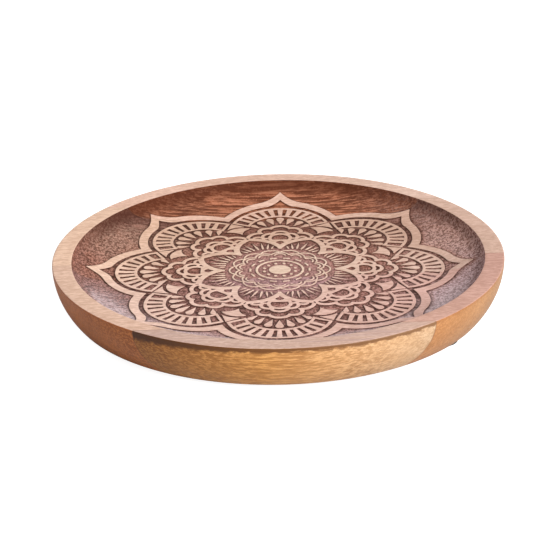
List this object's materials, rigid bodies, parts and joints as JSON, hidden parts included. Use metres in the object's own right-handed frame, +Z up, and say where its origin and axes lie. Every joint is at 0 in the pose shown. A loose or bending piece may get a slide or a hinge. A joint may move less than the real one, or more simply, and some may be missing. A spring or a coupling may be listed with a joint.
{
  "type": "offering plate",
  "caption": "Round turned wooden plate with a flat rim, a shallow basin carved with a layered flower relief, a rounded outer wall and small rubber feet.",
  "frame": {"origin": "on the surface the plate stands on, below the centre of the rim", "axes": "+Z up out of the basin; X along the boards and their grain; -Y towards the narrow front board"},
  "size_m": [0.3, 0.3, 0.033],
  "materials": {
    "wood_front": "satin lacquer outside, sanded relief over dark stain inside",
    "wood_front_middle": "satin lacquer outside, sanded relief over dark stain inside",
    "wood_back_middle": "satin lacquer outside, sanded relief over dark stain inside",
    "wood_back": "satin lacquer outside, dark stain inside",
    "rubber": "matt",
    "screw_steel": "zinc plated"
  },
  "bodies": {
    "root": {"front_board": "wood_front", "front_middle_board": "wood_front_middle", "back_middle_board": "wood_back_middle", "back_board": "wood_back", "front_right_foot": "rubber", "back_foot": "rubber", "left_foot": "rubber", "foot_screws": "screw_steel"}
  },
  "joints": []
}
